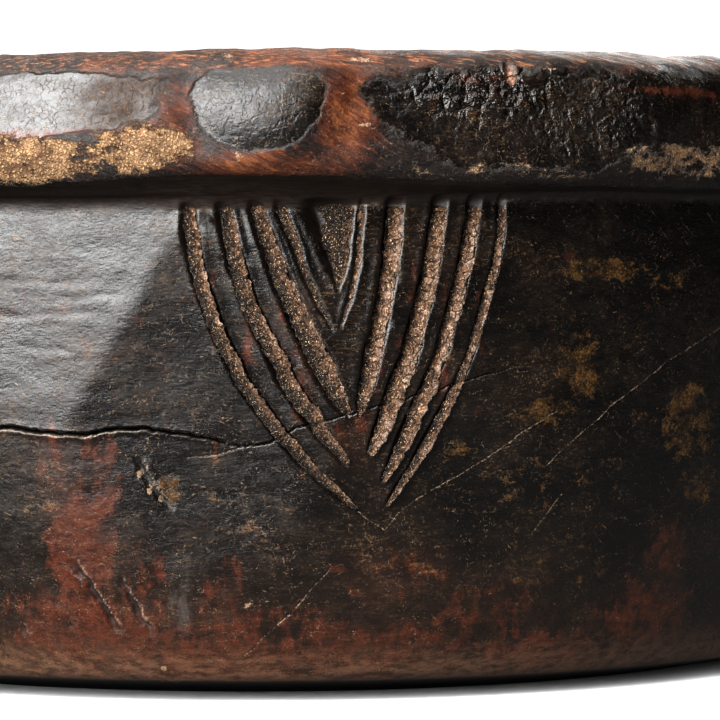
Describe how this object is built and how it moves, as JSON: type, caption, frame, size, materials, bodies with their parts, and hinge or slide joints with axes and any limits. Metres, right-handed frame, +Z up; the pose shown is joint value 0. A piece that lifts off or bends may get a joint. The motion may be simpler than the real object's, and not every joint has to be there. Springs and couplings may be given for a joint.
{
  "type": "wooden bowl",
  "caption": "Round hand-carved wooden bowl with a heavy faceted rim band, near-upright wall, flat foot and gouged V-shaped motifs filled with dried crust.",
  "frame": {"origin": "middle of the flat foot, on the surface the bowl stands on", "axes": "+Z up along the bowl's axis, -Y towards the front motif, X along the grain of the block"},
  "size_m": [0.3402, 0.3402, 0.14],
  "materials": {
    "dark_carved_wood": "black-brown hardwood, oiled and smoke-darkened, rubbed red-brown on the high places, with a worn gloss",
    "groove_crust": "dry, matt, grainy light-brown residue lying in the gouged grooves"
  },
  "bodies": {
    "root": {"bowl_body": "dark_carved_wood", "groove_crust_front": "groove_crust", "groove_crust_right": "groove_crust", "groove_crust_back": "groove_crust", "groove_crust_left": "groove_crust"}
  },
  "joints": []
}
